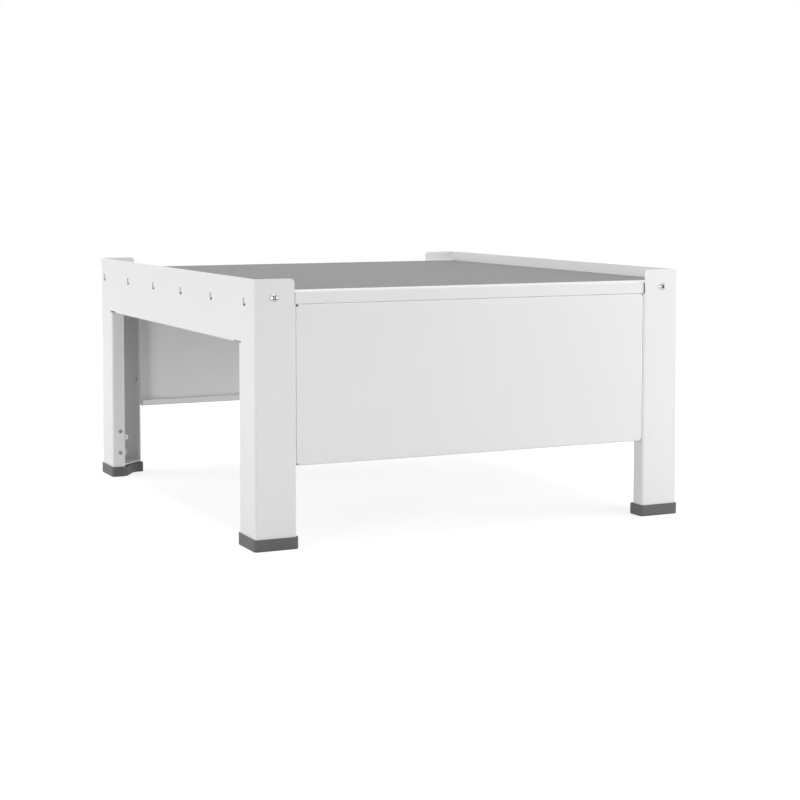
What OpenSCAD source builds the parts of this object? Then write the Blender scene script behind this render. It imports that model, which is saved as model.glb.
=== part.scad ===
// Washing machine pedestal of folded steel sheet.
// Two one-piece side frames, each with a leg at either end, are joined by two
// cross rails and carry a recessed top tray. A panel closes the front and
// another the back; both sides are open.
// Frame: X across the pedestal, Y from front to back, Z up from the floor.

/* [Overall size] */
// Width over the two side frames
frame_w = 550; // [480:1:700]
// Depth from the front faces of the legs to the rear faces
frame_d = 600; // [520:1:720]
// Height from the floor to the rim of the side rails
frame_h = 300; // [270:1:420]

/* [Side frames] */
// Thickness of the side frame sheet
frame_t = 1.5; // [1:0.1:2]
// Outside radius of the folds in the side frames
frame_r = 2.5; // [2.2:0.1:4]
// Width of a leg seen from the front, fold included
leg_face_w = 49; // [44:1:60]
// Width of a leg seen from the open side
leg_side_w = 50; // [44:1:60]
// Depth of the inner fold along the front panel
leg_fold_d = 19; // [17:1:24]
// Width of the flange that turns in along the opening
leg_return_w = 17; // [15:1:22]
// Height of the side rail above the opening
rail_h = 73; // [60:1:90]
// Width of the plain tab at the top of a leg
tab_w = 47; // [40:1:47]
// Radius of the tab's free corner
tab_r = 5; // [2:0.5:8]
// Length of the relief slot along the rail at each corner of the opening
relief_l = 16; // [8:1:24]
// Length of the same slot past the edge of the leg
relief_in = 7; // [4:1:10]
// Height of the sole plate folded in above the foot
sole_z = 16.5; // [15.5:0.5:22]

/* [Cross rails] */
// Thickness of the cross rail sheet
rail_t = 1.5; // [1:0.1:2]
// Outside radius of the folds in the cross rails
rail_r = 3; // [2.2:0.1:4]
// Height of a cross rail between the legs
rail_face_h = 15.2; // [12:0.1:18]
// Depth of the level ledge in front of the tray
ledge_d = 7.5; // [6:0.5:12]
// Depth of the lowered shelf that carries the edge of the tray
shelf_d = 20; // [12:1:30]
// Width of the slit between the face of a cross rail and its end tabs
rail_slit = 2.4; // [1.5:0.1:4]
// Height of the end tabs behind the legs
rail_tab_h = 22; // [19:0.5:26]
// How far the face of a cross rail reaches past the inner fold of the leg
rail_reach = 0.7; // [0.3:0.1:1.5]

/* [Top tray] */
// Thickness of the tray sheet
tray_t = 1.5; // [1:0.1:2]
// Outside radius of the folds in the tray
tray_r = 2.5; // [2.2:0.1:4]
// How far the tray lies below the rim of the side rails
rim_h = 13; // [8:0.5:14]
// Height of the tray's side flanges
tray_flange_h = 30; // [24:1:34]
// Gap between the edge of the tray and the ledge of a cross rail
tray_edge_gap = 0.5; // [0.3:0.1:1.5]

/* [Tray stiffeners] */
// Number of hat sections under the tray
stiffener_n = 3; // [2:1:4]
// Width of a hat section over its flanges
stiffener_w = 70; // [50:1:90]
// Width of the closed side of the hat
stiffener_base = 36; // [26:1:40]
// Depth of the hat section
stiffener_h = 25; // [16:1:30]
// Thickness of the hat section
stiffener_t = 1.2; // [0.8:0.1:2]
// Inside radius of the folds in the hat section
stiffener_ri = 0.8; // [0.5:0.1:2]

/* [Panels] */
// Thickness of the panel sheet
panel_t = 1; // [0.8:0.1:1.5]
// Outside radius of the folds in the panels
panel_r = 2; // [1.7:0.1:3]
// Height of a panel
panel_h = 179.2; // [100:0.1:190]
// Gap between a panel and the cross rail above it
panel_top_gap = 0.3; // [0.2:0.1:4]
// Gap between a panel and the leg on either side
panel_side_gap = 0.4; // [0.2:0.1:3]
// How far a panel lies behind the faces of the legs
panel_recess = 0.7; // [0:0.1:3]
// Depth of the folded edges of a panel
panel_flange = 20; // [17:1:26]
// Height of the lip turned up along the free edge of the bottom fold
panel_lip = 8; // [4:0.5:12]
// Size of the square relief at the corners of a panel
panel_notch = 2.6; // [2.2:0.1:4]

/* [Feet] */
// Height of a plastic foot cap
foot_h = 13.5; // [10:0.5:15]
// Thickness of a foot under the sheet
foot_floor = 3; // [2:0.5:5]
// How far a foot stands proud of the leg
foot_proud = 1.5; // [1:0.1:2.5]
// How far its two ends stand proud of the leg's edges
foot_end = 2.2; // [1.5:0.1:3]
// Depth of the foot's arm under the front of the leg
foot_arm = 22.5; // [21.5:0.5:26]
// Radius of the two arcs of the foot's inner curve
foot_curve_r = 13; // [11:0.5:14]
// Where the first of these arcs starts, from the outer face of the leg
foot_curve_in = 12; // [11:0.5:13]
// Distance between the middles of the two arcs, across the leg
foot_curve_run = 33.4; // [32:0.1:35]
// Height of the set-back at the foot's lower edge
foot_step = 0.8; // [0.4:0.1:1.5]
// Depth of that set-back
foot_step_in = 0.5; // [0.2:0.1:0.9]

/* [Rail rivets] */
// Distance between rivets along a side rail
rivet_pitch = 110; // [80:1:130]
// Distance of the first rivet from the front of the frame
rivet_first = 32; // [20:1:45]
// Least distance of the last rivet from the back
rivet_last_min = 16; // [14:1:30]
// Distance of the rivets below the rim
rivet_drop = 26; // [22:1:32]
// Diameter of the dished rivet head, flush in the rail
rivet_head_d = 10; // [8:0.1:12]
// Diameter of the rivet's shank
rivet_d = 5; // [4:0.1:6]
// Depth of the dish in the rivet head
rivet_dish = 1.1; // [0.4:0.1:1.2]
// Width of the sloping border round the dish
rivet_slope = 0.5; // [0.3:0.1:1]
// Diameter of the small hole through the lower side of the rivet
rivet_pin_d = 2.2; // [1.4:0.1:2.4]
// Distance of that hole below the middle of the rivet
rivet_pin_drop = 3.5; // [3.2:0.1:3.6]
// Thickness of the rivet's tail behind the tray flange
rivet_tail_h = 1.2; // [0.8:0.1:2]
// Diameter of the tail
rivet_tail_d = 9.8; // [9.6:0.1:12]

/* [Screws] */
// Distance of a rail screw from the outer face of the side frame
screw_in = 23; // [16:1:30]
// Distance of a rail screw below the level of the tray
screw_drop = 7.8; // [7.5:0.1:10]
// Shank diameter of a rail screw
screw_d = 5; // [4:0.1:6]
// Head diameter of a rail screw
screw_head_d = 9; // [8:0.1:11]
// Head height of a rail screw
screw_head_h = 2.6; // [2:0.1:3.5]
// Length of a rail screw under its head
screw_l = 12; // [9:0.5:18]
// Side of the square nut behind a cross rail
nut_w = 9; // [8:0.5:9.5]
// Thickness of that nut
nut_t = 4; // [3:0.5:5]
// Shank diameter of a panel screw
pscrew_d = 4; // [3:0.1:5]
// Head diameter of a panel screw
pscrew_head_d = 6.6; // [6:0.1:8.5]
// Head height of a panel screw
pscrew_head_h = 1.7; // [1.4:0.1:3]
// Length of a panel screw under its head
pscrew_l = 5.5; // [4.5:0.5:14]
// Distance of a panel screw behind the face of the leg
pscrew_in = 9; // [8:0.5:12]
// Height of the lower panel screws above the bottom of the panel
pscrew_low_up = 36.5; // [20:0.5:50]
// Distance of the upper panel screws below the top of the panel
pscrew_high_drop = 35; // [20:1:50]
// Turn of the cross slots from upright, in degrees
slot_turn = 38; // [0:1:89]
// Width of a cross slot, as a share of the head's diameter
slot_w_share = 0.19; // [0.12:0.01:0.22]
// Length of a cross slot, as a share of the head's diameter
slot_l_share = 0.6; // [0.4:0.01:0.7]
// Depth of a cross slot, as a share of the head's height
slot_h_share = 0.8; // [0.5:0.05:0.9]

/* [Leg fittings] */
// Diameter of the holes in the flange along the opening
runner_hole_d = 4; // [3:0.1:5]
// Distance of these holes from the outer face of the leg
runner_hole_in = 10.7; // [9:0.1:13]
// Height of the lower hole
runner_hole_z = 32.8; // [28:0.1:40]
// Distance between the two holes
runner_hole_pitch = 29.5; // [20:0.5:60]
// Outside diameter of the round weld nut behind that flange
weld_nut_d = 7.6; // [6:0.1:9]
// Thickness of the weld nut
weld_nut_t = 2.5; // [2:0.1:4]
// Diameter of its hole, which stops short of the inner side
weld_nut_hole_d = 2.8; // [2:0.1:4]
// Thickness left behind that hole
weld_nut_floor = 0.6; // [0.4:0.1:1.5]
// Height of the weld nut above the floor
weld_nut_z = 53.7; // [50:0.1:56]
// How far the middle of the weld nut lies past the edge of the flange
weld_nut_past = 1.4; // [1:0.1:3]
// Diameter of the stud below the weld nut
stud_d = 3.4; // [2.8:0.1:4]
// Height of the stud above the floor
stud_z = 34; // [32:0.1:38]
// How far the middle of the stud lies past the edge of the flange
stud_past = 1.1; // [0.4:0.1:1.2]

/* [Fits] */
// Gap between two sheets that lie side by side
sheet_gap = 0.3; // [0.1:0.05:0.5]
// Clearance around the sheet in a foot's slot
foot_fit = 0.15; // [0.05:0.05:0.3]
// Clearance around a screw or rivet in its hole
hole_fit = 0.1; // [0.05:0.05:0.3]
// Clearance between a screw and its nut
thread_fit = 0.05; // [0.02:0.01:0.1]

/* [Hidden] */
$fn = 48;
eps = 0.01;
lap = 0.03;

white = [0.93, 0.93, 0.93];
grey_tray = [0.62, 0.62, 0.62];
foot_grey = [0.38, 0.38, 0.38];
zinc = [0.75, 0.76, 0.77];

open_z = frame_h - rail_h;
tray_z = frame_h - rim_h;
tray_half_w = frame_w / 2 - frame_t - sheet_gap;
rail_y = frame_d / 2 - frame_t - sheet_gap;
tray_half_d = rail_y - ledge_d - tray_edge_gap;
rail_half = tray_half_w - tray_r - sheet_gap;
rail_face_half = frame_w / 2 - leg_face_w + rail_reach;
panel_z1 = tray_z - rail_face_h - panel_top_gap;
panel_z0 = panel_z1 - panel_h;
panel_w = frame_w - 2 * (leg_face_w + panel_side_gap);
fold_top = panel_z1;
rivet_n = floor((frame_d - rivet_first - rivet_last_min) / rivet_pitch) + 1;
rivet_z = frame_h - rivet_drop;
screw_z = tray_z - screw_drop;
pscrew_zs = [panel_z0 + pscrew_low_up, panel_z1 - pscrew_high_drop];
END_FRONT = 0;
END_REAR = 1;

// ---- placing -------------------------------------------------------------
// A side frame is drawn with u across, from its outer face inwards, and v
// from the front face backwards. These put it on the left or the right.
module on_left() { translate([-frame_w / 2, -frame_d / 2, 0]) children(); }
module on_right() { mirror([1, 0, 0]) on_left() children(); }
module at_end(end) {
    if (end == END_FRONT) children();
    else translate([0, frame_d, 0]) mirror([0, 1, 0]) children();
}
module on_all_legs() {
    for (end = [END_FRONT, END_REAR]) {
        on_left() at_end(end) children();
        on_right() at_end(end) children();
    }
}
module at_back() { mirror([0, 1, 0]) children(); }
// Turns a cylinder's axis from Z to Y, or to X.
module along_y() { rotate([-90, 0, 0]) children(); }
module along_x() { rotate([0, 90, 0]) children(); }

// ---- folded sheet --------------------------------------------------------
// A quarter of a ring about the origin: one fold seen end on.
// qx and qy are 1 or -1 and choose the quarter.
module fold(r, t, qx, qy) {
    difference() {
        quarter(r, qx, qy);
        circle(r - t);
    }
}

// A quarter of a disc about the origin, in the same way.
module quarter(r, qx, qy) {
    intersection() {
        circle(r);
        translate([qx > 0 ? 0 : -r, qy > 0 ? 0 : -r]) square(r);
    }
}

// A channel seen end on: a web of width w along the top, a flange of height h
// at either side, and where lip is not 0 a lip turned in under the flange.
module channel(w, h, t, r, lip_left = 0, lip_right = 0) {
    translate([-w / 2 + r, -t]) square([w - 2 * r, t]);
    for (side = [-1, 1]) {
        lip = side < 0 ? lip_left : lip_right;
        foot = lip > 0 ? r : 0;
        translate([side * (w / 2 - r), -r]) fold(r, t, side, 1);
        translate([side > 0 ? w / 2 - t : -w / 2, -h + foot]) square([t, h - r - foot]);
        if (lip > 0) {
            translate([side * (w / 2 - r), -h + r]) fold(r, t, side, -1);
            translate([side > 0 ? w / 2 - lip : -w / 2 + r, -h]) square([lip - r, t]);
        }
    }
}

// ---- side frame ----------------------------------------------------------
// A leg seen from above: wall, face, inner fold and the flange along the
// opening. c widens the sheet on both sides, for the slot in a foot.
module leg_section(c = 0) {
    t = frame_t + 2 * c;
    r = frame_r + c;
    translate([-c, frame_r]) square([t, leg_side_w - 2 * frame_r]);
    translate([frame_r, leg_side_w - frame_r]) fold(r, t, -1, 1);
    translate([frame_r, leg_side_w - frame_t - c]) square([leg_return_w - frame_r + c, t]);
    face_section(c);
}

// The part of the leg's section that runs on above the opening.
module face_section(c = 0) {
    t = frame_t + 2 * c;
    r = frame_r + c;
    translate([frame_r, frame_r]) fold(r, t, -1, -1);
    translate([frame_r, -c]) square([leg_face_w - 2 * frame_r, t]);
    translate([leg_face_w - frame_r, frame_r]) fold(r, t, 1, -1);
    translate([leg_face_w - frame_t - c, frame_r]) square([t, leg_fold_d - frame_r + c]);
}

// The plain tab at the top of a leg, with its free corner rounded.
module leg_tab() {
    h = frame_h - fold_top;
    linear_extrude(h) translate([frame_r, frame_r]) fold(frame_r, frame_t, -1, -1);
    translate([0, frame_t, 0]) rotate([90, 0, 0]) linear_extrude(frame_t) difference() {
        translate([frame_r, 0]) square([tab_w - frame_r, h]);
        translate([tab_w - tab_r, h - tab_r]) difference() {
            square(tab_r + eps);
            circle(tab_r);
        }
    }
}

// The plate turned in above the foot, cut off slantwise between the flange
// along the opening and the inner fold.
module sole_plate() {
    in = frame_t / 2;
    translate([0, 0, sole_z - frame_t]) linear_extrude(frame_t)
        polygon([[in, frame_r], [frame_r, in], [leg_face_w - frame_r, in], [leg_face_w - in, frame_r],
                 [leg_face_w - in, leg_fold_d], [leg_return_w, leg_side_w - in],
                 [frame_r, leg_side_w - in], [in, leg_side_w - frame_r]]);
}

module side_frame() {
    difference() {
        union() {
            for (end = [END_FRONT, END_REAR]) at_end(end) {
                translate([0, 0, foot_floor]) linear_extrude(open_z - foot_floor) leg_section();
                translate([0, 0, open_z]) linear_extrude(fold_top - open_z) face_section();
                translate([0, 0, fold_top]) leg_tab();
                translate([0, frame_r, open_z - eps])
                    cube([frame_t, leg_side_w + relief_l - frame_r, frame_r + 2 * eps]);
                sole_plate();
            }
            translate([0, frame_r, open_z + frame_r])
                cube([frame_t, frame_d - 2 * frame_r, rail_h - frame_r]);
            rail_return();
        }
        for (end = [END_FRONT, END_REAR]) at_end(end) {
            relief_slot();
            leg_holes();
        }
        for (i = [0 : rivet_n - 1])
            translate([-1, rivet_first + i * rivet_pitch, rivet_z])
                along_x() cylinder(h = frame_t + 2, d = rivet_head_d + 2 * hole_fit);
    }
}

// The flange turned in under the rail, between the two relief slots.
module rail_return() {
    start = leg_side_w + relief_l;
    translate([0, frame_d - start, open_z]) rotate([90, 0, 0]) linear_extrude(frame_d - 2 * start) {
        translate([frame_r, frame_r]) fold(frame_r, frame_t, -1, -1);
        translate([frame_r, 0]) square([leg_return_w - frame_r, frame_t]);
    }
}

module relief_slot() {
    translate([-1, leg_side_w - relief_in, open_z])
        cube([frame_t + 2, relief_in + relief_l, frame_r]);
}

module leg_holes() {
    translate([screw_in, -1, screw_z]) along_y()
        cylinder(h = frame_t + 2, d = screw_d + 2 * hole_fit);
    for (z = pscrew_zs)
        translate([leg_face_w - frame_t - 1, pscrew_in, z]) along_x()
            cylinder(h = frame_t + 2, d = pscrew_d + 2 * hole_fit);
    for (i = [0, 1])
        translate([runner_hole_in, leg_side_w - frame_t - 1, runner_hole_z + i * runner_hole_pitch])
            along_y() cylinder(h = frame_t + 2, d = runner_hole_d);
}

module side_frame_left() { color(white) on_left() side_frame(); }
module side_frame_right() { color(white) on_right() side_frame(); }

// ---- cross rails ---------------------------------------------------------
// A cross rail seen end on: y runs inwards from its face and z up to 0 at the
// level of the tray. The face is h high.
module rail_section(h) {
    low = -tray_t - rail_t;
    translate([rail_r, -rail_r]) fold(rail_r, rail_t, -1, 1);
    translate([0, -h]) square([rail_t, h - rail_r]);
    translate([rail_r, -rail_t]) square([ledge_d - rail_r, rail_t]);
    translate([ledge_d - rail_t, low]) square([rail_t, -low]);
    translate([ledge_d - rail_t, low]) square([rail_t + shelf_d, rail_t]);
}

module rail_run(x0, x1, h) {
    translate([x0, -rail_y, tray_z]) rotate([90, 0, 90]) linear_extrude(x1 - x0)
        rail_section(h);
}

module cross_rail() {
    tab_start = rail_face_half + rail_slit;
    difference() {
        union() {
            rail_run(-rail_face_half, rail_face_half, rail_face_h);
            rail_run(-rail_half, rail_half, rail_r + eps);
            for (side = [0, 1]) mirror([side, 0, 0])
                rail_run(tab_start, rail_half, rail_tab_h);
        }
        for (side = [0, 1]) mirror([side, 0, 0])
            translate([-frame_w / 2 + screw_in, -rail_y - 1, screw_z]) along_y()
                cylinder(h = rail_t + 2, d = screw_d + 2 * hole_fit);
    }
}
module front_cross_rail() { color(white) cross_rail(); }
module rear_cross_rail() { color(white) at_back() cross_rail(); }

// ---- top tray ------------------------------------------------------------
module top_tray() {
    color(grey_tray) difference() {
        translate([0, tray_half_d, tray_z]) rotate([90, 0, 0]) linear_extrude(2 * tray_half_d)
            channel(2 * tray_half_w, tray_flange_h, tray_t, tray_r);
        for (side = [0, 1], i = [0 : rivet_n - 1]) mirror([side, 0, 0])
            translate([-tray_half_w, -frame_d / 2 + rivet_first + i * rivet_pitch, rivet_z]) {
                translate([-1, 0, 0]) along_x() cylinder(h = tray_t + 2, d = rivet_d + 2 * hole_fit);
                pin_hole(tray_t);
            }
    }
}

// ---- stiffeners under the tray -------------------------------------------
module hat_section() {
    r = stiffener_t + stiffener_ri;
    t = stiffener_t;
    mirror([0, 1]) translate([0, stiffener_h]) channel(stiffener_base, stiffener_h - r, t, r);
    for (side = [-1, 1]) {
        translate([side * (stiffener_base / 2 - t + r), -r]) fold(r, t, -side, 1);
        translate([side > 0 ? stiffener_base / 2 - t + r : -stiffener_w / 2, -t])
            square([stiffener_w / 2 - stiffener_base / 2 + t - r, t]);
    }
}

module tray_stiffeners() {
    length = 2 * (tray_half_w - tray_t - rivet_tail_h - 1);
    pitch = 2 * tray_half_d / stiffener_n;
    color(zinc) for (i = [0 : stiffener_n - 1])
        translate([-length / 2, -tray_half_d + pitch * (i + 0.5), tray_z - tray_t])
            rotate([90, 0, 90]) linear_extrude(length) hat_section();
}

// ---- panels --------------------------------------------------------------
// A panel is a shallow pan with its open side inwards, and its bottom fold
// ends in a lip. It is made of two channels that cross, one from top to bottom
// and one from side to side, cut off short of each other at the corners.
module panel() {
    half = panel_w / 2 - panel_notch;
    difference() {
        union() {
            translate([-half, 0, (panel_z0 + panel_z1) / 2]) rotate([180, -90, 0]) linear_extrude(2 * half)
                channel(panel_h, panel_flange, panel_t, panel_r, panel_lip, 0);
            translate([0, 0, panel_z0 + panel_notch]) linear_extrude(panel_h - 2 * panel_notch) mirror([0, 1])
                channel(panel_w, panel_flange, panel_t, panel_r);
        }
        for (side = [0, 1], z = pscrew_zs) mirror([side, 0, 0])
            translate([panel_w / 2 - panel_t - 1, pscrew_in - panel_recess, z]) along_x()
                cylinder(h = panel_t + 2, d = pscrew_d + 2 * hole_fit);
    }
}

module front_panel() {
    color(white) translate([0, -frame_d / 2 + panel_recess, 0]) panel();
}
module back_panel() { at_back() front_panel(); }

// ---- feet ----------------------------------------------------------------
// The foot seen from above, drawn in from its full outline by i. Its three
// square corners are rounded about the folds of the leg. The inner side is two
// arcs joined by a straight. The straights there run into the arcs by lap, so
// that they cross them and don't just touch.
module foot_outline(i = 0) {
    r = frame_r + foot_proud - i;
    low = i - foot_proud;
    arm = foot_arm - i;
    top = leg_side_w + foot_end - i;
    r_out = foot_curve_r - i;
    r_in = foot_curve_r + i;
    mid_out = [foot_curve_in, top - r_out];
    mid_in = [foot_curve_in + foot_curve_run, arm + r_in];
    step = mid_in - mid_out;
    turn = atan2(step[1], step[0]) + acos((r_out + r_in) / norm(step));
    normal = [cos(turn), sin(turn)];
    from = mid_out + (r_out - lap) * normal;
    to = mid_in - (r_in - lap) * normal;
    end = leg_face_w + foot_end - i;
    difference() {
        polygon([[low + r, low], [end - r, low], [end - r, low + r], [end, low + r], [end, arm],
                 [mid_in[0], arm + lap], to, from, mid_out, [mid_out[0], top - lap],
                 [low + r, top], [low + r, top - r], [low, top - r], [low, low + r], [low + r, low + r]]);
        translate(mid_in) circle(r_in);
    }
    translate(mid_out) circle(r_out);
    translate([low + r, low + r]) quarter(r, -1, -1);
    translate([end - r, low + r]) quarter(r, 1, -1);
    translate([low + r, top - r]) quarter(r, -1, 1);
}

module foot() {
    difference() {
        union() {
            linear_extrude(foot_step) foot_outline(foot_step_in);
            translate([0, 0, foot_step]) linear_extrude(foot_h - foot_step) foot_outline();
        }
        translate([0, 0, foot_floor]) linear_extrude(foot_h) leg_section(foot_fit);
    }
}

module foot_front_left() { color(foot_grey) on_left() at_end(END_FRONT) foot(); }
module foot_front_right() { color(foot_grey) on_right() at_end(END_FRONT) foot(); }
module foot_rear_left() { color(foot_grey) on_left() at_end(END_REAR) foot(); }
module foot_rear_right() { color(foot_grey) on_right() at_end(END_REAR) foot(); }

// ---- rivets --------------------------------------------------------------
// A dished rivet through the rail and the tray's side flange.
module rivet() {
    grip = frame_t + sheet_gap + tray_t;
    difference() {
        union() {
            along_x() cylinder(h = frame_t, d = rivet_head_d);
            along_x() cylinder(h = grip + rivet_tail_h, d = rivet_d);
            translate([grip, 0, 0]) along_x() cylinder(h = rivet_tail_h, d = rivet_tail_d);
        }
        translate([-eps, 0, 0]) along_x() cylinder(h = rivet_dish + eps,
            d1 = rivet_head_d - rivet_slope, d2 = rivet_head_d - 3 * rivet_slope);
        pin_hole(grip + rivet_tail_h);
    }
}

module pin_hole(depth) {
    translate([-1, 0, -rivet_pin_drop]) along_x() cylinder(h = depth + 2, d = rivet_pin_d);
}

module rail_rivets() {
    for (i = [0 : rivet_n - 1])
        translate([0, rivet_first + i * rivet_pitch, rivet_z]) rivet();
}
module rail_rivets_left() { color(white) on_left() rail_rivets(); }
module rail_rivets_right() { color(white) on_right() rail_rivets(); }

// ---- screws and nuts -----------------------------------------------------
// A cross-slotted screw with a domed head. Its head's seat lies at z = 0 and
// its shank points along +Z.
module cross_screw(d, l, head_d, head_h) {
    slot_h = head_h * slot_h_share;
    dome_r = (pow(head_d / 2, 2) + pow(head_h, 2)) / (2 * head_h);
    difference() {
        union() {
            cylinder(h = l, d = d);
            rotate_extrude() intersection() {
                translate([0, dome_r - head_h]) circle(dome_r, $fn = 96);
                translate([0, -head_h]) square([head_d / 2, head_h]);
            }
        }
        for (a = [0, 90]) rotate(slot_turn + a)
            translate([-head_d * slot_w_share / 2, -head_d * slot_l_share / 2, -head_h - eps])
                cube([head_d * slot_w_share, head_d * slot_l_share, slot_h + eps]);
    }
}

module rail_screws() {
    for (side = [0, 1]) mirror([side, 0, 0])
        translate([-frame_w / 2 + screw_in, -frame_d / 2, screw_z]) along_y()
            cross_screw(screw_d, screw_l, screw_head_d, screw_head_h);
}
module rail_screws_front() { color(zinc) rail_screws(); }
module rail_screws_rear() { color(zinc) at_back() rail_screws(); }

module rail_nuts() {
    for (side = [0, 1]) mirror([side, 0, 0])
        translate([-frame_w / 2 + screw_in, -rail_y + rail_t, screw_z]) difference() {
            translate([-nut_w / 2, 0, -nut_w / 2]) cube([nut_w, nut_t, nut_w]);
            translate([0, -1, 0]) along_y() cylinder(h = nut_t + 2, d = screw_d + 2 * thread_fit);
        }
}
module rail_nuts_front() { color(zinc) rail_nuts(); }
module rail_nuts_rear() { color(zinc) at_back() rail_nuts(); }

module panel_screws() {
    for (side = [0, 1], z = pscrew_zs) mirror([side, 0, 0])
        translate([-frame_w / 2 + leg_face_w - frame_t, -frame_d / 2 + pscrew_in, z]) along_x()
            cross_screw(pscrew_d, pscrew_l, pscrew_head_d, pscrew_head_h);
}
module front_panel_screws() { color(zinc) panel_screws(); }
module back_panel_screws() { color(zinc) at_back() panel_screws(); }

// ---- leg fittings --------------------------------------------------------
// The weld nut and the stud sit on the inner side of the flange along the
// opening and reach past its edge. Their faces on the flange lie at z = 0.
module behind_flange(past, z) {
    on_all_legs() translate([leg_return_w + past, leg_side_w - frame_t, z])
        rotate([90, 0, 0]) children();
}

module leg_weld_nuts() {
    color(white) behind_flange(weld_nut_past, weld_nut_z) difference() {
        cylinder(h = weld_nut_t, d = weld_nut_d);
        translate([0, 0, -1]) cylinder(h = weld_nut_t - weld_nut_floor + 1, d = weld_nut_hole_d);
    }
}
module leg_studs() {
    color(white) behind_flange(stud_past, stud_z) cylinder(h = weld_nut_t, d = stud_d);
}

side_frame_left();
side_frame_right();
front_cross_rail();
rear_cross_rail();
top_tray();
tray_stiffeners();
front_panel();
back_panel();
foot_front_left();
foot_front_right();
foot_rear_left();
foot_rear_right();
rail_rivets_left();
rail_rivets_right();
rail_screws_front();
rail_screws_rear();
rail_nuts_front();
rail_nuts_rear();
front_panel_screws();
back_panel_screws();
leg_weld_nuts();
leg_studs();
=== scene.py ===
import math

import bpy
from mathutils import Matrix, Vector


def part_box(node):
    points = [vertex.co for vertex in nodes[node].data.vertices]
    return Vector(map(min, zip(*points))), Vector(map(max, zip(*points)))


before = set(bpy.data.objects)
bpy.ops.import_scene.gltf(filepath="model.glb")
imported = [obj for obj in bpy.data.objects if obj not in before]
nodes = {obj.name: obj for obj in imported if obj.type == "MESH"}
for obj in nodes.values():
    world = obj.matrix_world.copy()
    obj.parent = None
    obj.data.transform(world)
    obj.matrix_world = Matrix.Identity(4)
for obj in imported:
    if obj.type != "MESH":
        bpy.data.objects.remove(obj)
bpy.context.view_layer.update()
MM = 0.001


# ---- Studio -----------------------------------------------------------------
# A white painted board under a soft white surround, lit by five soft boxes. The
# board's own shade is weak, so only a faint shadow shows under the pedestal.
WORLD_LIGHT = 0.335
FLOOR_SIZE = 12.0
FLOOR_DROP_MM = 0.2
FLOOR_SHADE = 0.45
FLOOR_GLOW = 0.78
FLOOR_BOUNCE = "C7C7C7"
SHADOW_REACH = (0.6, 1.5)


def linear(hex_colour):
    """A colour written as sRGB hex, such as F2F2F2, as linear red, green, blue and alpha."""
    values = [int(hex_colour[i : i + 2], 16) / 255 for i in (0, 2, 4)]
    return (*[v / 12.92 if v <= 0.04045 else ((v + 0.055) / 1.055) ** 2.4 for v in values], 1.0)


def add_node(tree, kind, settings=None, **inputs):
    """Adds a node with its own settings. Each input is a number, a colour or a socket to link.

    An input goes by its name, with _ for a space, or by i and its number where names repeat.
    """
    node = tree.nodes.new(kind)
    for name, value in (settings or {}).items():
        setattr(node, name, value)
    for name, value in inputs.items():
        key = int(name[1:]) if name[0] == "i" and name[1:].isdigit() else name.replace("_", " ")
        if isinstance(value, bpy.types.NodeSocket):
            tree.links.new(value, node.inputs[key])
        else:
            node.inputs[key].default_value = value
    return node


def new_material(name):
    """An empty material, its node tree and its output node."""
    material = bpy.data.materials.new(name)
    material.use_nodes = True
    material.node_tree.nodes.clear()
    output = material.node_tree.nodes.new("ShaderNodeOutputMaterial")
    return material, material.node_tree, output


def seen_directly(tree):
    """1 for the camera, in mirror reflections and through glass, and 0 for diffuse light."""
    path = add_node(tree, "ShaderNodeLightPath")
    first = add_node(tree, "ShaderNodeMath", {"operation": "MAXIMUM"},
                     i0=path.outputs["Is Camera Ray"], i1=path.outputs["Is Glossy Ray"])
    both = add_node(tree, "ShaderNodeMath", {"operation": "MAXIMUM"},
                    i0=first.outputs[0], i1=path.outputs["Is Transmission Ray"])
    return both.outputs[0]


world = bpy.data.worlds.new("white_surround")
bpy.context.scene.world = world
world.use_nodes = True
tree = world.node_tree
tree.nodes.clear()
strength = add_node(tree, "ShaderNodeMapRange", Value=seen_directly(tree), To_Min=WORLD_LIGHT, To_Max=1.0)
sky = add_node(tree, "ShaderNodeBackground", Color=linear("FFFFFF"), Strength=strength.outputs[0])
add_node(tree, "ShaderNodeOutputWorld", Surface=sky.outputs[0])

bpy.ops.object.select_all(action="DESELECT")
bpy.ops.mesh.primitive_plane_add(size=FLOOR_SIZE, location=(0, 0, -FLOOR_DROP_MM * MM))
floor = bpy.context.object
floor.name = "studio_floor"
material, tree, output = new_material("white_painted_board")
# What the camera sees is part painted board, which takes the shadow, and part
# plain glow, which grows to full white beyond the shadow's reach.
white = add_node(tree, "ShaderNodeBsdfDiffuse", Color=linear("FFFFFF"))
black = add_node(tree, "ShaderNodeBsdfDiffuse", Color=linear("000000"))
board = add_node(tree, "ShaderNodeMixShader", i0=FLOOR_SHADE, i1=black.outputs[0], i2=white.outputs[0])
place = add_node(tree, "ShaderNodeTexCoord").outputs["Object"]
away = add_node(tree, "ShaderNodeVectorMath", {"operation": "LENGTH"}, i0=place)
fade = add_node(tree, "ShaderNodeMapRange", Value=away.outputs["Value"], From_Min=SHADOW_REACH[0],
                From_Max=SHADOW_REACH[1], To_Min=FLOOR_GLOW, To_Max=1.0)
glow = add_node(tree, "ShaderNodeEmission", Color=linear("FFFFFF"), Strength=fade.outputs[0])
bright = add_node(tree, "ShaderNodeAddShader", i0=board.outputs[0], i1=glow.outputs[0])
# What lights the pedestal from below is the plain board alone.
plain = add_node(tree, "ShaderNodeBsdfDiffuse", Color=linear(FLOOR_BOUNCE))
mix = add_node(tree, "ShaderNodeMixShader", i0=seen_directly(tree), i1=plain.outputs[0], i2=bright.outputs[0])
tree.links.new(mix.outputs[0], output.inputs["Surface"])
floor.data.materials.append(material)

bpy.context.scene.view_settings.view_transform = "Standard"


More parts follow.
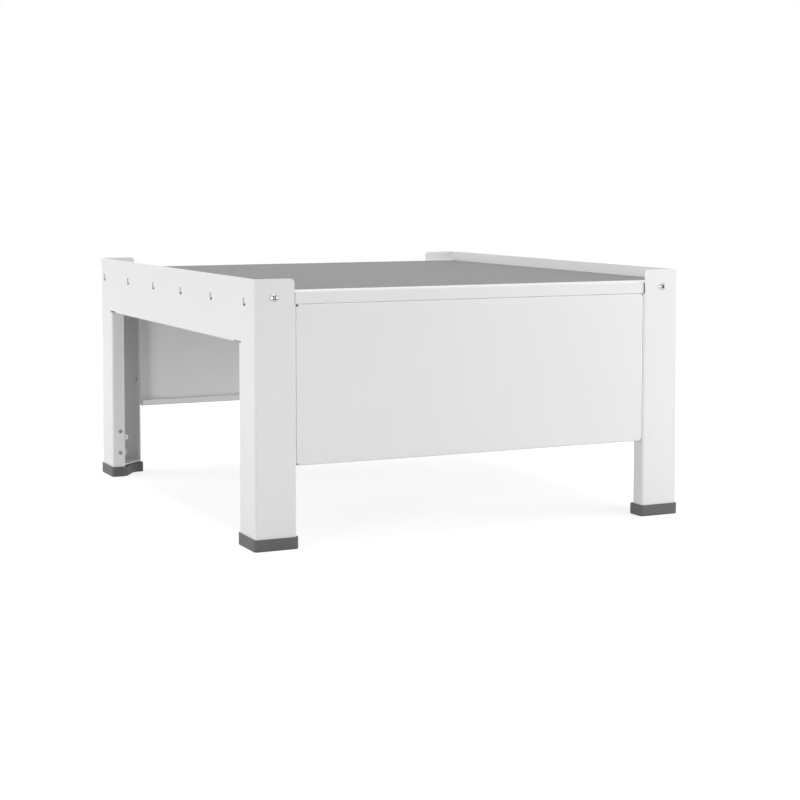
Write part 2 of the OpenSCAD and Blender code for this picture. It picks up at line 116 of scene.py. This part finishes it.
def add_lamp(name, place, target, size, watts):
    """A square soft box at place, turned to face target."""
    data = bpy.data.lights.new(name, "AREA")
    data.size = size
    data.energy = watts
    lamp = bpy.data.objects.new(name, data)
    bpy.context.scene.collection.objects.link(lamp)
    lamp.location = place
    direction = [b - a for a, b in zip(place, target)]
    flat = math.hypot(direction[0], direction[1])
    lamp.rotation_euler = (math.atan2(flat, -direction[2]), 0,
                           math.atan2(direction[1], direction[0]) - math.pi / 2)


# The two on the left light the open side and the panel, the low one on the
# right reaches in under the rail to the back panel's inside.
add_lamp("soft_box_above", place=(0.0, 0.0, 2.4), target=(0.0, 0.0, 0.15), size=1.2, watts=26.5)
add_lamp("soft_box_left_front", place=(-3.2, -2.4, 0.5), target=(0.0, 0.1, 0.15), size=1.0, watts=40.5)
add_lamp("soft_box_left_rear", place=(-2.2, 1.4, 0.9), target=(0.0, 0.0, 0.15), size=0.8, watts=15)
add_lamp("soft_box_right", place=(1.6, -0.9, 0.35), target=(0.2, -0.3, 0.15), size=0.7, watts=12)
add_lamp("soft_box_right_front", place=(0.9, -1.4, 0.6), target=(0.2, -0.3, 0.15), size=0.6, watts=2.9)

# ---- Camera -----------------------------------------------------------------
# The photograph's view, worked out from the measured corners of the pedestal:
# a long lens a little above the tray, with the frame shifted down.
SENSOR_MM = 36.0
FRAME_PX = 800
FOCAL_PX = 1768.42
CENTRE_PX = (382.14, 296.78)
CAMERA_PLACE = (-0.95603, -2.09679, 0.40611)
CAMERA_YAW = 24.90
CAMERA_PITCH = 3.73

lens = bpy.data.cameras.new("camera")
lens.sensor_width = SENSOR_MM
lens.lens = FOCAL_PX / FRAME_PX * SENSOR_MM
lens.shift_x = (FRAME_PX / 2 - CENTRE_PX[0]) / FRAME_PX
lens.shift_y = (CENTRE_PX[1] - FRAME_PX / 2) / FRAME_PX
camera = bpy.data.objects.new("camera", lens)
camera.location = CAMERA_PLACE
camera.rotation_euler = (math.radians(90 - CAMERA_PITCH), 0, math.radians(-CAMERA_YAW))
bpy.context.scene.collection.objects.link(camera)
bpy.context.scene.camera = camera

# ---- Side frames ------------------------------------------------------------
# Each side frame is one piece of steel sheet, laser cut and folded into the
# rail and its two legs, then hung and powder coated. The white polyester
# powder is baked on to a smooth satin coat with the faintest orange peel.
POWDER_DEEP = "F3F3F3"
POWDER_PALE = "F6F6F6"
# Painted highlight: the full white that the coat is lightened to along its edges.
POWDER_EDGE_HIGHLIGHT = "FFFFFF"
POWDER_DETAIL = 1.0
# Painted shade: the dark grey put on the walls of holes and recesses.
PAINTED_RECESS_SHADE = "343434"
CLOUD_MM = 140.0
PEEL_MM = 2.2  # drawn coarser than it is, so that it shows
PEEL_DEPTH_MM = 0.1
PEEL_STRENGTH = 0.02
SATIN_ROUGHNESS = 0.28
# EDGE_MM and EDGE_TURN set how near an edge the painted highlight falls.
EDGE_MM = 0.8
EDGE_TURN = (0.97, 0.75)  # how far the rounded normal agrees with the flat one
FLANGE_MIDDLE_MM = 49.25  # the middle of the flange's sheet, in from the leg's face
FLANGE_HALF_MM = 0.9
HOLE_IN_MM = 10.7  # in from the rail's outer face
HOLE_HEIGHTS_MM = (32.8, 62.3)
HOLE_RADIUS_MM = 2.0
# How far round a flange hole the painted shade reaches.
SHADED_RIM_MM = 0.5


def powder_coat(name, shaded_places):
    """White satin powder coat with a painted highlight along its edges. The function passed in gives a socket
    that is 1 where shade is painted in dark grey.
    """
    material, tree, output = new_material(name)
    coords = add_node(tree, "ShaderNodeTexCoord").outputs["Object"]
    cloud = add_node(tree, "ShaderNodeTexNoise", Vector=coords, Scale=1 / (CLOUD_MM * MM),
                     Detail=POWDER_DETAIL)
    tint = add_node(tree, "ShaderNodeMix", {"data_type": "RGBA"}, Factor=cloud.outputs["Fac"],
                    i6=linear(POWDER_DEEP), i7=linear(POWDER_PALE))
    # A painted highlight along the cut edges: a rounded normal differs from the
    # flat one only next to an edge, and there the colour is lightened to white.
    rounded = add_node(tree, "ShaderNodeBevel", {"samples": 4}, Radius=EDGE_MM * MM)
    flat = add_node(tree, "ShaderNodeNewGeometry")
    turn = add_node(tree, "ShaderNodeVectorMath", {"operation": "DOT_PRODUCT"},
                    i0=rounded.outputs["Normal"], i1=flat.outputs["Normal"])
    painted_edge_highlight = add_node(tree, "ShaderNodeMapRange", Value=turn.outputs["Value"],
                    From_Min=EDGE_TURN[0], From_Max=EDGE_TURN[1])
    lit = add_node(tree, "ShaderNodeMix", {"data_type": "RGBA"}, Factor=painted_edge_highlight.outputs[0],
                   i6=tint.outputs[2], i7=linear(POWDER_EDGE_HIGHLIGHT))
    # Shade is painted in dark grey where the given function is 1.
    skin = add_node(tree, "ShaderNodeMix", {"data_type": "RGBA"}, Factor=shaded_places(tree, coords),
                    i6=lit.outputs[2], i7=linear(PAINTED_RECESS_SHADE))
    peel = add_node(tree, "ShaderNodeTexNoise", Vector=coords, Scale=1 / (PEEL_MM * MM),
                    Detail=POWDER_DETAIL)
    bump = add_node(tree, "ShaderNodeBump", Strength=PEEL_STRENGTH, Distance=PEEL_DEPTH_MM * MM,
                    Height=peel.outputs["Fac"])
    coat = add_node(tree, "ShaderNodeBsdfPrincipled", Base_Color=skin.outputs[2],
                    Roughness=SATIN_ROUGHNESS, Normal=bump.outputs[0])
    tree.links.new(coat.outputs[0], output.inputs["Surface"])
    return material


def flange_holes(tree, coords):
    """1 on the walls and rims of the holes in the leg flanges, where shade is painted in dark grey."""
    low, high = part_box("side_frame_right")
    mirrored = add_node(tree, "ShaderNodeVectorMath", {"operation": "ABSOLUTE"}, i0=coords)
    place = add_node(tree, "ShaderNodeSeparateXYZ", Vector=mirrored.outputs[0])
    in_flange = add_node(tree, "ShaderNodeMath", {"operation": "COMPARE"}, i0=place.outputs[1],
                         i1=high[1] - FLANGE_MIDDLE_MM * MM, i2=FLANGE_HALF_MM * MM)
    flat = add_node(tree, "ShaderNodeCombineXYZ", X=place.outputs[0], Z=place.outputs[2])
    away = [add_node(tree, "ShaderNodeVectorMath", {"operation": "DISTANCE"}, i0=flat.outputs[0],
                     i1=(high[0] - HOLE_IN_MM * MM, 0, height * MM)) for height in HOLE_HEIGHTS_MM]
    nearest = add_node(tree, "ShaderNodeMath", {"operation": "MINIMUM"},
                       i0=away[0].outputs["Value"], i1=away[1].outputs["Value"])
    rim = add_node(tree, "ShaderNodeMath", {"operation": "LESS_THAN"}, i0=nearest.outputs[0],
                   i1=(HOLE_RADIUS_MM + SHADED_RIM_MM) * MM)
    painted_shade = add_node(tree, "ShaderNodeMath", {"operation": "MULTIPLY"},
                    i0=rim.outputs[0], i1=in_flange.outputs[0])
    return painted_shade.outputs[0]


def give(material, *names):
    """Puts one material on every slot of the named CAD nodes."""
    for name in names:
        mesh = nodes[name].data
        mesh.materials.clear()
        mesh.materials.append(material)


white_coat = powder_coat("white_powder_coat", flange_holes)
give(white_coat, "side_frame_left", "side_frame_right")

# ---- Cross rails ------------------------------------------------------------
# The front and rear cross rails are folded from the same sheet as the side
# frames, with the same white coat, and are screwed to the tops of the legs.
give(white_coat, "front_cross_rail", "rear_cross_rail")

# ---- Panels -----------------------------------------------------------------
# The two panels are shallow pans of thinner sheet in the same white coat, held
# between the legs by screws through their side folds.
give(white_coat, "front_panel", "back_panel")

# ---- Leg fittings -----------------------------------------------------------
# The weld nuts and studs at the foot of each leg are projection welded to the
# flange before it is coated, so the white powder covers them too.
give(white_coat, "leg_weld_nuts", "leg_studs")

# ---- Rail rivets ------------------------------------------------------------
# Each dished rivet is set flush in the rail and coated with it. Its pin hole
# and the wall behind it are painted dark as shade, which shows as a dark dot, and
# the rear corner of its dish gets a lighter painted shade, a fine grey crescent.
RIVET_COUNT = 6
SHADE_SPOT_MM = (1.2, -3.5)  # along the rail and up, from the rivet's middle
SHADE_SPOT_RADIUS_MM = 1.7
DISH_RADIUS_MM = 4.3
CRESCENT_MM = 0.9
CRESCENT_START_MM = 0.5
CRESCENT_SHADE = 0.4


def rivet_marks(tree, coords):
    """Painted shade: 1 round the pin holes and somewhat less in the rear corner of each dish."""
    low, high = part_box("rail_rivets_left")
    radius = (high[2] - low[2]) / 2
    first = low[1] + radius
    pitch = (high[1] - radius - first) / (RIVET_COUNT - 1)
    place = add_node(tree, "ShaderNodeSeparateXYZ", Vector=coords)
    # The distance along the rail is folded into one pitch, about each rivet.
    shifted = add_node(tree, "ShaderNodeMath", {"operation": "ADD"},
                       i0=place.outputs[1], i1=pitch / 2 - first)
    repeated = add_node(tree, "ShaderNodeMath", {"operation": "FLOORED_MODULO"},
                        i0=shifted.outputs[0], i1=pitch)
    across = add_node(tree, "ShaderNodeMath", {"operation": "SUBTRACT"},
                      i0=repeated.outputs[0], i1=pitch / 2)
    up = add_node(tree, "ShaderNodeMath", {"operation": "SUBTRACT"},
                  i0=place.outputs[2], i1=low[2] + radius)
    flat = add_node(tree, "ShaderNodeCombineXYZ", X=across.outputs[0], Y=up.outputs[0])
    from_spot = add_node(tree, "ShaderNodeVectorMath", {"operation": "DISTANCE"}, i0=flat.outputs[0],
                         i1=(SHADE_SPOT_MM[0] * MM, SHADE_SPOT_MM[1] * MM, 0))
    spot = add_node(tree, "ShaderNodeMath", {"operation": "LESS_THAN"},
                    i0=from_spot.outputs["Value"], i1=SHADE_SPOT_RADIUS_MM * MM)
    from_middle = add_node(tree, "ShaderNodeVectorMath", {"operation": "LENGTH"}, i0=flat.outputs[0])
    ring = add_node(tree, "ShaderNodeMath", {"operation": "COMPARE"}, i0=from_middle.outputs["Value"],
                    i1=DISH_RADIUS_MM * MM, i2=CRESCENT_MM / 2 * MM)
    rear = add_node(tree, "ShaderNodeMapRange", Value=across.outputs[0], From_Min=CRESCENT_START_MM * MM,
                    From_Max=DISH_RADIUS_MM / 2 * MM, To_Max=CRESCENT_SHADE)
    crescent = add_node(tree, "ShaderNodeMath", {"operation": "MULTIPLY"},
                        i0=ring.outputs[0], i1=rear.outputs[0])
    painted_shade = add_node(tree, "ShaderNodeMath", {"operation": "MAXIMUM"},
                    i0=spot.outputs[0], i1=crescent.outputs[0])
    return painted_shade.outputs[0]


give(powder_coat("white_powder_coat_on_rivets", rivet_marks), "rail_rivets_left", "rail_rivets_right")

# ---- Tray -------------------------------------------------------------------
# The tray is a cold rolled sheet with a smooth grey coat. It lies on the shelves
# of the cross rails and is riveted to the side rails. Rolling leaves very faint
# streaks across it, and the coat clouds a little.
TRAY_DEEP = "868686"
TRAY_PALE = "8E8E8E"
TRAY_ROUGHNESS = 0.5
TRAY_SPECULAR = 0.05  # a dull coat, with hardly any gloss
TRAY_DETAIL = 3.0
TRAY_CLOUD_MM = 60.0
TRAY_CLOUD_SHARE = 0.5
STREAK_MM = 3.0
STREAK_LONG_MM = 160.0
STREAK_DEPTH_MM = 0.05
STREAK_STRENGTH = 0.05

material, tree, output = new_material("smooth_grey_coated_sheet")
coords = add_node(tree, "ShaderNodeTexCoord").outputs["Object"]
along = add_node(tree, "ShaderNodeMapping", Vector=coords,
                 Scale=(1 / (STREAK_LONG_MM * MM), 1 / (STREAK_MM * MM), 1 / (STREAK_MM * MM)))
streaks = add_node(tree, "ShaderNodeTexNoise", Vector=along.outputs[0], Scale=1.0, Detail=TRAY_DETAIL)
cloud = add_node(tree, "ShaderNodeTexNoise", Vector=coords, Scale=1 / (TRAY_CLOUD_MM * MM),
                 Detail=TRAY_DETAIL)
mixed = add_node(tree, "ShaderNodeMix", Factor=TRAY_CLOUD_SHARE,
                 A=streaks.outputs["Fac"], B=cloud.outputs["Fac"])
tint = add_node(tree, "ShaderNodeMix", {"data_type": "RGBA"}, Factor=mixed.outputs[0],
                i6=linear(TRAY_DEEP), i7=linear(TRAY_PALE))
bump = add_node(tree, "ShaderNodeBump", Strength=STREAK_STRENGTH, Distance=STREAK_DEPTH_MM * MM,
                Height=streaks.outputs["Fac"])
sheet = add_node(tree, "ShaderNodeBsdfPrincipled", Base_Color=tint.outputs[2], Roughness=TRAY_ROUGHNESS,
                 Specular_IOR_Level=TRAY_SPECULAR, Normal=bump.outputs[0])
tree.links.new(sheet.outputs[0], output.inputs["Surface"])
give(material, "top_tray")

# ---- Stiffeners under the tray ----------------------------------------------
# The hat sections are roll formed from hot dip galvanised strip, with the
# crystals of the zinc showing as a soft spangle, and are spot welded on.
SPANGLE_MM = 7.0
SPANGLE_DEEP = "A6A9AC"
SPANGLE_PALE = "BEC1C4"
SPANGLE_ROUGHNESS = (0.34, 0.48)

material, tree, output = new_material("galvanised_strip")
coords = add_node(tree, "ShaderNodeTexCoord").outputs["Object"]
crystals = add_node(tree, "ShaderNodeTexVoronoi", Vector=coords, Scale=1 / (SPANGLE_MM * MM))
shade = add_node(tree, "ShaderNodeSeparateColor", Color=crystals.outputs["Color"])
tint = add_node(tree, "ShaderNodeMix", {"data_type": "RGBA"}, Factor=shade.outputs[0],
                i6=linear(SPANGLE_DEEP), i7=linear(SPANGLE_PALE))
dull = add_node(tree, "ShaderNodeMapRange", Value=shade.outputs[1],
                To_Min=SPANGLE_ROUGHNESS[0], To_Max=SPANGLE_ROUGHNESS[1])
strip = add_node(tree, "ShaderNodeBsdfPrincipled", Base_Color=tint.outputs[2], Metallic=1.0,
                 Roughness=dull.outputs[0])
tree.links.new(strip.outputs[0], output.inputs["Surface"])
give(material, "tray_stiffeners")

# ---- Screws and nuts --------------------------------------------------------
# The rail and panel screws and the rail nuts are cold formed steel with a
# bright zinc plate, with shade painted nearly black into the cross slots.
ZINC_DEEP = "AEB0B2"
ZINC_PALE = "D0D2D4"
ZINC_ROUGHNESS = 0.22
ZINC_GRAIN_MM = 0.8
ZINC_DETAIL = 2.0
HEAD_EDGE_MM = 0.25
SLOT_MM = 1.6
SLOT_SHADE = "2A2A2A"
SLOT_CLOSED_IN = (0.9, 0.62)  # how open a spot is where the painted shade starts, and where it is full

material, tree, output = new_material("bright_zinc_plate")
coords = add_node(tree, "ShaderNodeTexCoord").outputs["Object"]
grain = add_node(tree, "ShaderNodeTexNoise", Vector=coords, Scale=1 / (ZINC_GRAIN_MM * MM),
                 Detail=ZINC_DETAIL)
tint = add_node(tree, "ShaderNodeMix", {"data_type": "RGBA"}, Factor=grain.outputs["Fac"],
                i6=linear(ZINC_DEEP), i7=linear(ZINC_PALE))
# Painted shade: the more closed in a spot is, the nearer to black it is painted.
closed_in = add_node(tree, "ShaderNodeAmbientOcclusion", {"samples": 8, "only_local": True},
                     Distance=SLOT_MM * MM)
painted_slot_shade = add_node(tree, "ShaderNodeMapRange", Value=closed_in.outputs["AO"],
                From_Min=SLOT_CLOSED_IN[0], From_Max=SLOT_CLOSED_IN[1])
skin = add_node(tree, "ShaderNodeMix", {"data_type": "RGBA"}, Factor=painted_slot_shade.outputs[0],
                i6=tint.outputs[2], i7=linear(SLOT_SHADE))
rounded = add_node(tree, "ShaderNodeBevel", {"samples": 6}, Radius=HEAD_EDGE_MM * MM)
plate = add_node(tree, "ShaderNodeBsdfPrincipled", Base_Color=skin.outputs[2], Metallic=1.0,
                 Roughness=ZINC_ROUGHNESS, Normal=rounded.outputs[0])
tree.links.new(plate.outputs[0], output.inputs["Surface"])
give(material, "rail_screws_front", "rail_screws_rear", "rail_nuts_front", "rail_nuts_rear",
     "front_panel_screws", "back_panel_screws")

# ---- Feet -------------------------------------------------------------------
# The feet are injection moulded polypropylene caps, dark grey and matt, pushed
# onto the ends of the legs. The mould leaves a fine eroded grain.
FOOT_DEEP = "585858"
FOOT_PALE = "686868"
FOOT_ROUGHNESS = 0.55
FOOT_EDGE_MM = 0.5
FOOT_DETAIL = 3.0
FOOT_GRAIN_MM = 0.9
FOOT_GRAIN_DEPTH_MM = 0.1
FOOT_GRAIN_STRENGTH = 0.25
RUBBED_MM = 14.0
RUBBED_SHARE = 0.5

material, tree, output = new_material("moulded_grey_polypropylene")
coords = add_node(tree, "ShaderNodeTexCoord").outputs["Object"]
grain = add_node(tree, "ShaderNodeTexNoise", Vector=coords, Scale=1 / (FOOT_GRAIN_MM * MM),
                 Detail=FOOT_DETAIL)
rubbed = add_node(tree, "ShaderNodeTexNoise", Vector=coords, Scale=1 / (RUBBED_MM * MM),
                  Detail=FOOT_DETAIL)
mixed = add_node(tree, "ShaderNodeMix", Factor=RUBBED_SHARE, A=grain.outputs["Fac"], B=rubbed.outputs["Fac"])
tint = add_node(tree, "ShaderNodeMix", {"data_type": "RGBA"}, Factor=mixed.outputs[0],
                i6=linear(FOOT_DEEP), i7=linear(FOOT_PALE))
rounded = add_node(tree, "ShaderNodeBevel", {"samples": 6}, Radius=FOOT_EDGE_MM * MM)
bump = add_node(tree, "ShaderNodeBump", Strength=FOOT_GRAIN_STRENGTH, Distance=FOOT_GRAIN_DEPTH_MM * MM,
                Height=grain.outputs["Fac"], Normal=rounded.outputs[0])
plastic = add_node(tree, "ShaderNodeBsdfPrincipled", Base_Color=tint.outputs[2],
                   Roughness=FOOT_ROUGHNESS, Normal=bump.outputs[0])
tree.links.new(plastic.outputs[0], output.inputs["Surface"])
give(material, "foot_front_left", "foot_front_right", "foot_rear_left", "foot_rear_right")
